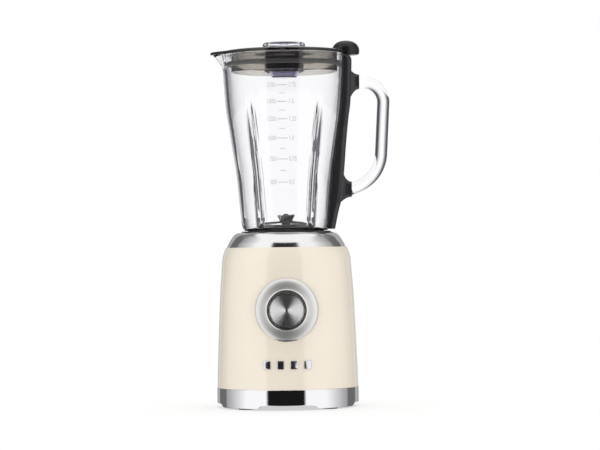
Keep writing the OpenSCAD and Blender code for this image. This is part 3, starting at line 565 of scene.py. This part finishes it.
glass_low, glass_high = box_mm("jar_glass")
RIM = glass_high.z
GLASS_WALL = 4.5
HEEL = glass_low.z + 8.5
NECK_R = 44.0
glass_line = smooth_line([
    (49.2, HEEL + 2.4), (50.9, HEEL + 7), (52.2, HEEL + 20), (54.5, HEEL + 45), (56.8, HEEL + 68),
    (60.3, HEEL + 91), (63.7, HEEL + 114), (67.2, HEEL + 137), (69.2, HEEL + 160), (70.6, HEEL + 183),
    (glass_high.y, RIM),
], 4)
RIBS = [math.radians(a) for a in (-128, -52, 52, 128)]
SPOUT_OUT = -glass_low.x - glass_high.y


def away(angle, centre):
    """Signed angle from a centre, between -pi and pi."""
    return (angle - centre + math.pi) % TURN - math.pi


def spout(angle, z, reach, half=0.34):
    """How far the spout carries the rim outwards, at an angle and height."""
    rise = min(max((z - (RIM - 17)) / 17, 0.0), 1.0) ** 1.6
    off = abs(away(angle, math.pi)) / half
    return reach * rise * (0.5 + 0.5 * math.cos(math.pi * off)) if off < 1 else 0.0


def rib(angle, radius, z):
    """How far a stirring rib stands in from the wall, at an angle and height."""
    mid, top = RIM - 104.5, RIM - 54.5
    tall = 0.75 * (top - z) / (top - mid) if z > mid else 1 - 0.25 * (z - HEEL - 7) / (mid - HEEL - 7)
    foot = ease(z, HEEL + 3, HEEL + 7)
    across = min(abs(away(angle, a)) for a in RIBS) * radius
    return 7.0 * max(tall, 0.0) * foot * (1 - ease(across, 2.2, 4.6))


def make_jug():
    """Thick glass with its neck, floor, ribs and pouring spout."""
    wall = GLASS_WALL
    floor_r = NECK_R - 5
    outer = [(r, z) for r, z in glass_line if z < RIM - 1.2]
    inner = [(r - wall, z) for r, z in outer if z > HEEL + 11]
    top_r = level(glass_line, RIM - 1)
    rim = rounded([
        (top_r, RIM - 1.4, 0), (top_r, RIM, 1.4), (top_r - wall, RIM, 1.4), (top_r - wall, RIM - 1.4, 0),
    ])
    foot = rounded([
        (inner[0][0], HEEL + 11, 0), (inner[0][0] - 0.6, HEEL + 3, 1.6), (floor_r, HEEL + 3, 1.5),
    ])
    neck = rounded([
        (floor_r, glass_low.z, 0.6), (NECK_R, glass_low.z, 0.6), (NECK_R, HEEL, 0.4), (47.4, HEEL, 1.0),
        (outer[0][0], outer[0][1], 0),
    ])[:-1]
    half_rim = len(rim) // 2
    outside = neck + outer + rim[:half_rim]
    inside = rim[half_rim:] + inner[::-1] + foot[1:]

    def shape(r, z, angle):
        carried = r + spout(angle, z, SPOUT_OUT)
        if (r, z) in inside:
            carried -= rib(angle, r, z)
        return carried, z

    return lathe("jug_moulded_glass", outside + inside, turns=360, shape=shape, sharp=50)


jug = dress(make_jug(), "jug", "jug_glass", "jar_glass")
jug.visible_shadow = False


def handle_section(half_t, half_w, steps=8):
    """Round-ended section: half thickness in the handle's plane, half width front to back."""
    flat = half_w - half_t
    points = []
    for side in (1, -1):
        for s in range(steps + 1):
            a = (s / steps - 0.5) * math.pi + (0 if side > 0 else math.pi)
            points.append((half_t * math.sin(a), side * flat + half_t * math.cos(a)))
    return points


def handle_path():
    """Centre line of the handle in the X-Z plane as (x, z, heading), heading from +X."""
    lean = math.radians(3.2)
    bend, low_bend = 23.5, 42.0
    turn = math.radians(64.8)
    path = []
    x, z, heading = 78.0, RIM - 32.5, 0.0
    for length, sweep, steps in [
        (12.1, 0.0, 3), (bend * (math.pi / 2 + lean), math.pi / 2 + lean, 20), (58.0, 0.0, 6),
        (low_bend * turn, turn, 20), (15.0, 0.0, 4),
    ]:
        for _ in range(steps):
            path.append((x, z, heading))
            heading -= sweep / steps / 2
            x += length / steps * math.cos(heading)
            z += length / steps * math.sin(heading)
            heading -= sweep / steps / 2
    path.append((x, z, heading))
    return path


def make_handle():
    """Solid glass handle, swept along its centre line."""
    section = handle_section(7.0, 9.0)
    return loft("handle_glass_bar", [
        [(x - u * math.sin(heading), v, z + u * math.cos(heading)) for u, v in section]
        for x, z, heading in handle_path()
    ])


handle = dress(make_handle(), "jug", "jug_glass", "glass_handle")
handle.visible_shadow = False

spine_low, spine_high = box_mm("handle_spine")
spine_line = smooth_line([
    (x, spine_low.z + up) for x, up in [
        (56.4, 0), (60.5, 19.5), (64.6, 36.5), (68.0, 70.5), (70.3, 98.5), (73.1, 125.5), (76.0, 148.5),
        (spine_high.x, 193.5),
    ]
])


def make_spine():
    """Black spine with a rounded outer face, shaped to the glass behind it."""
    crown = [(4.5, 0.25), (2.5, 0.8), (1, 2.0), (0, 4.6)]
    levels = [(z, 0.0) for _, z in spine_line] + [(spine_high.z - down, pull) for down, pull in crown]
    sections = []
    for z, pull in levels:
        t = (z - spine_low.z) / (spine_high.z - spine_low.z)
        half = 11 + 6 * t
        front = level(spine_line, z) - pull
        behind = level(glass_line, z)
        points = []
        for k in range(17):
            s = -1 + k / 8
            y = half * math.copysign(abs(s) ** 0.8, s)
            x = front - 5.5 * (1 - math.sqrt(max(1 - abs(s) ** 4.5, 0.0)))
            points.append((max(x, math.sqrt(behind ** 2 - y * y) + 0.1), y, z))
        for k in range(9):
            y = half * (1 - k / 4)
            points.append((math.sqrt(behind ** 2 - y * y) + 0.05, y * 0.98, z))
        sections.append(points)
    return loft("spine_moulded", sections)


dress(make_spine(), "jug", "spine_black", "handle_spine")


def make_ferrule(name, node, back, face, corner):
    """Flared collar between the spine and the handle, from a back sunk in the spine to a face at x.

    Back is (depth in the spine, z low, z high, half width) and face is (x, z low, z high, half width).
    """
    sections = []
    for s in range(9):
        t = s / 8
        flare = 1 - (1 - t) ** 2.2
        z_low, z_high, half_w = (b + (f - b) * flare for b, f in zip(back[1:], face[1:]))
        mid, half = (z_low + z_high) / 2, (z_high - z_low) / 2
        sections.append([
            ((level(spine_line, mid + u) - back[0]) * (1 - t) + face[0] * t, v, mid + u)
            for u, v in rounded_rect(half, half_w, corner)
        ])
    for pull, inset in [(-0.25, 0.4), (0.0, 1.1)]:
        half, half_w = (face[2] - face[1]) / 2 - inset, face[3] - inset
        mid = (face[1] + face[2]) / 2
        ring = rounded_rect(half, half_w, corner - inset)
        sections.append([(face[0] + pull, v, mid + u) for u, v in ring])
    dress(loft(name, sections), "jug", "spine_black", node)


for name, node, half_width, face_up, face_tall in [
    ("ferrule_upper", "upper_ferrule", 13.0, 15.0, 16.5),
    ("ferrule_lower", "lower_ferrule", 12.0, 9.0, 17.5),
]:
    low, high = box_mm(node)
    make_ferrule(name, node, (2.5, low.z, high.z, half_width),
                 (high.x, low.z + face_up, low.z + face_up + face_tall, 10.2), 4.5)


# ---- Lid and cap ----

lid_low, lid_high = box_mm("lid_plate")
LID_R = lid_high.x
LID_TOP = LID_UNDER + 4.2
FILLER_R = 20.5
SPOUT_COVER = -lid_low.x - LID_R


def make_lid():
    """Lid plate with its skirt, filler chimney and the cover over the spout, as one moulding."""
    skirt_z = lid_low.z
    outline = rounded([
        (FILLER_R, skirt_z, 0.4), (FILLER_R, LID_TOP + 0.6, 0.4), (LID_R - 22, LID_TOP + 0.35, 0),
        (LID_R - 5, LID_TOP, 2.0), (LID_R, LID_TOP - 1.4, 1.6), (LID_R, LID_UNDER, 0.7),
        (61.4, LID_UNDER, 0.2), (61, LID_UNDER - 1, 0.2), (61, skirt_z, 0.6), (58.5, skirt_z, 0.6),
        (58.5, LID_UNDER, 0.8),
        (FILLER_R + 2, LID_UNDER, 0.8), (FILLER_R + 2, skirt_z, 0.4),
    ])

    def cover(r, z, angle):
        share = ease(r, 61.5, LID_R)
        off = abs(away(angle, math.pi)) / 0.40
        return r + SPOUT_COVER * share * (0.5 + 0.5 * math.cos(math.pi * min(off, 1.0))), z

    return lathe("lid_smoked", outline, turns=360, shape=cover)


lid = dress(make_lid(), "lid", "lid_smoke", "lid_plate")


def make_tab():
    """Domed thumb tab that hooks over the lid's edge."""
    low, high = box_mm("lid_thumb_tab")
    r = (high.y - low.y) / 2
    mid_x = high.x - r
    tall = high.z - low.z - 4.5
    around = [k / 24 * math.pi / 2 for k in range(25)]
    outline = [(r * math.sin(a) ** 0.9, high.z - tall + tall * math.cos(a) ** 0.9) for a in around]
    foot = [(0.1, 2.6), (0.5, 1.2), (1.4, 0.3), (2.6, 0), (r, 0)]
    outline += [(r - inward, low.z + up) for inward, up in foot]
    tab = lathe("tab_domed", outline, Matrix.Translation((mid_x * MM, 0, 0)), turns=96)
    plug = [
        (0, low.z - 3), (LID_R + 0.1, low.z - 3), (LID_R + 0.1, LID_TOP - 1.3),
        (LID_R - 4.9, LID_TOP + 0.1), (LID_R - 22, LID_TOP + 0.45), (0, LID_TOP + 0.45),
    ]
    cut(tab, lathe("plug", plug, turns=360))
    return tab


dress(make_tab(), "lid", "tab_black", "lid_thumb_tab")


def make_cap():
    """Clear measuring cap: a wide rim over the chimney and a tapered cup hanging in it."""
    low, high = box_mm("measuring_cap")
    r, top, cup = high.x, high.z, FILLER_R - 0.3
    flange = CAP_SEAT
    outline = rounded([
        (0, low.z, 0), (cup - 6.2, low.z, 1.2), (cup, low.z + 12, 2.0), (cup, flange, 0.3),
        (r, flange, 0.6), (r, top - 2.2, 1.2), (r - 1.0, top - 0.5, 0.6), (r - 2.5, top, 0.6),
        (cup - 1.8, flange + 1, 1.5),
        (cup - 1.8, low.z + 12, 2.0), (cup - 8.0, low.z + 2, 1.0), (0, low.z + 2, 0),
    ])
    return lathe("cap_moulded", outline)


cap = dress(make_cap(), "cap", "cap_clear", "measuring_cap")
for see_through in (lid, cap):
    see_through.visible_shadow = False


# ---- Print on the glass and round the knob ----

def lettering(name, rows, lay, squeeze=1.0):
    """Flat lettering; rows are (text, u, v, size, align) and lay(u, v) gives the point in mm."""
    verts, faces = [], []
    for text, u, v, size, align in rows:
        curve = bpy.data.curves.new(name, "FONT")
        curve.body, curve.size, curve.align_x, curve.align_y = text, size, align, "CENTER"
        curve.resolution_u = 3
        holder = bpy.data.objects.new(name, curve)
        bpy.context.scene.collection.objects.link(holder)
        flat = bpy.data.meshes.new_from_object(holder)
        start = len(verts)
        verts += [lay(u + p.co.x * squeeze, v + p.co.y) for p in flat.vertices]
        faces += [tuple(start + n for n in f.vertices) for f in flat.polygons]
        bpy.data.objects.remove(holder)
        bpy.data.curves.remove(curve)
        bpy.data.meshes.remove(flat)
    return verts, faces


def dash(verts, faces, u, v, length, thick, lay, steps=4):
    """A short bar from u along +u, laid on the same surface."""
    start = len(verts)
    for k in range(steps + 1):
        for side in (-0.5, 0.5):
            verts.append(lay(u + length * k / steps, v + side * thick))
    for k in range(steps):
        n = start + 2 * k
        faces.append((n, n + 2, n + 3, n + 1))


def on_glass(u, v):
    r = level(glass_line, v) + 0.04
    return (u, -math.sqrt(r * r - u * u), v)


def make_graduations():
    """Fill marks on the front of the glass, numbers on both sides of each long mark."""
    marks = [(HEEL + up, left, right) for up, left, right in [
        (163.5, "1750", "1.75"), (145.0, "1500", "1.5"), (125.5, "1250", "1.25"),
        (104.0, "1000", "1.0"), (80.5, "750", "0.75"), (54.5, "500", "0.5"),
    ]]
    rows = []
    for z, left, right in marks:
        rows += [(left, -9.6, z, 7.4, "RIGHT"), (right, 4.6, z, 7.4, "LEFT")]
    verts, faces = lettering("graduations", rows, on_glass, 0.7)
    for z, _, _ in marks:
        dash(verts, faces, -8.3, z, 11.6, 0.8, on_glass)
    for (z0, _, _), (z1, _, _) in zip(marks, marks[1:]):
        dash(verts, faces, -5.8, (z0 + z1) / 2, 6.6, 0.6, on_glass)
    return piece("graduations", verts, faces)


dress(make_graduations(), "jug", "jug_glass", paint="print_grey")


def make_dial():
    """Faint numbers round the bezel, on the shell."""
    ring = 39.4
    verts, faces = [], []
    for i, turn in enumerate(range(-30, 151, 30)):
        a = math.radians(turn)
        x, z = ring * math.sin(a), KNOB_Z + ring * math.cos(a)
        more_verts, more_faces = lettering(
            "dial", [(str(i), x, z, 4.8, "CENTER")], lambda u, v: (u, front_of_shell(u, v, 0.05), v)
        )
        faces += [tuple(len(verts) + n for n in face) for face in more_faces]
        verts += more_verts
    return piece("dial_numbers", verts, faces)


dress(make_dial(), "base", "cream_enamel", paint="print_white")


# ---- Floor, light and camera ----

FLOOR_HALF = 4.0 / MM
corners = [(-FLOOR_HALF, -FLOOR_HALF), (FLOOR_HALF, -FLOOR_HALF), (FLOOR_HALF, FLOOR_HALF),
           (-FLOOR_HALF, FLOOR_HALF)]
floor = piece("floor", [(x, y, 0) for x, y in corners], [(0, 1, 2, 3)])
floor_paint = bpy.data.materials.new("floor")
floor_paint.use_nodes = True
floor_graph = Graph(floor_paint.node_tree)
floor_shader = floor_graph.add("ShaderNodeBsdfPrincipled")
for key, value in {"Base Color": (0.4, 0.4, 0.4, 1), "Roughness": 0.9, "Specular IOR Level": 0.0,
                   "Emission Color": (1, 1, 1, 1), "Emission Strength": 0.6}.items():
    floor_shader.inputs[key].default_value = value
floor_paint.node_tree.links.new(
    floor_shader.outputs[0], floor_graph.add("ShaderNodeOutputMaterial").inputs["Surface"]
)
floor.visible_glossy = False
floor.data.materials.append(floor_paint)


def grey(graph, value):
    return graph.add("ShaderNodeCombineXYZ", X=value, Y=value, Z=value).outputs[0]


def ramp(graph, factor, stops):
    """Piecewise brightness over 0 to 1."""
    node = graph.add("ShaderNodeValToRGB", i0=factor)
    points = node.color_ramp.elements
    for _ in stops[2:]:
        points.new(0.5)
    for point, (where, bright) in zip(points, stops):
        point.position = where
        point.color = (bright, bright, bright, 1)
    return node.outputs["Color"]


# Brightness that mirrors see near the horizon, by degrees away from just beside the camera
BOXES = [(0, 0.01), (29, 0.01), (33, 1.1), (68, 1.1), (86, 0.78), (107, 0.46), (113, 0.42), (118, 0.16),
         (142, 0.16), (146, 0.5), (151, 0.5), (155, 0.35), (165, 0.5), (180, 0.9)]


def studio_light():
    """A white room with soft boxes left and right of the camera, as a world shader."""
    world = bpy.data.worlds.new("studio")
    bpy.context.scene.world = world
    world.use_nodes = True
    graph = Graph(world.node_tree)
    toward = graph.add("ShaderNodeTexCoord").outputs["Generated"]
    axes = graph.add("ShaderNodeSeparateXYZ", i0=toward).outputs
    side = graph.maths("ARCTAN2", axes[0], graph.maths("MULTIPLY", axes[1], -1.0))
    degrees = graph.maths("MULTIPLY", side, 180 / math.pi)
    height = graph.maths("MULTIPLY", graph.maths("ARCSINE", axes[2]), 180 / math.pi)
    off = graph.maths("ABSOLUTE", graph.maths("ADD", degrees, 3.0))
    # A colour ramp holds values up to 1, so the pattern is divided by its ceiling and multiplied back
    ceiling = 1.2
    stops = [(angle / 180, bright / ceiling) for angle, bright in BOXES]
    ring = ramp(graph, graph.maths("DIVIDE", off, 180.0), stops)
    high_up = graph.step(height, 20.0, 40.0, 0.0, 0.24)
    raised = graph.maths("MULTIPLY", high_up, graph.step(off, 60.0, 95.0))
    low_part = graph.maths("MAXIMUM", graph.maths("MULTIPLY", ring, ceiling), raised)
    overhead = graph.step(height, 50.0, 58.0)
    below = graph.maths("MULTIPLY", low_part, graph.maths("SUBTRACT", 1.0, overhead))
    mirrored = graph.maths("ADD", below, graph.maths("MULTIPLY", overhead, 1.1))
    behind = graph.step(graph.maths("ABSOLUTE", degrees), 153.0, 176.5, 0.08, 1.08)
    through = graph.maths("MAXIMUM", behind, graph.step(height, 24.0, 55.0, 0.0, 0.75))
    path = graph.add("ShaderNodeLightPath").outputs
    colour = graph.blend(path["Is Glossy Ray"], grey(graph, 1.05), grey(graph, mirrored))
    violet = graph.add("ShaderNodeCombineXYZ", X=through, Y=through,
                       Z=graph.maths("MULTIPLY_ADD", through, 0.98, 0.025)).outputs[0]
    colour = graph.blend(path["Is Transmission Ray"], colour, violet)
    colour = graph.blend(path["Is Camera Ray"], colour, grey(graph, 1.0))
    light = graph.add("ShaderNodeBackground", Color=colour)
    out = graph.add("ShaderNodeOutputWorld")
    world.node_tree.links.new(light.outputs[0], out.inputs["Surface"])


studio_light()
bpy.context.scene.view_settings.view_transform = "Standard"

lens = bpy.data.cameras.new("camera")
lens.lens = 151.2
lens.sensor_width = 36.0
lens.clip_end = 50.0
camera = bpy.data.objects.new("camera", lens)
bpy.context.scene.collection.objects.link(camera)
camera.matrix_world = (
    Matrix.Translation((0.016, -2.9, 0.183)) @ Matrix.Rotation(math.radians(90.5), 4, "X")
    @ Matrix.Rotation(math.radians(-0.7), 4, "Z")
)
bpy.context.scene.camera = camera
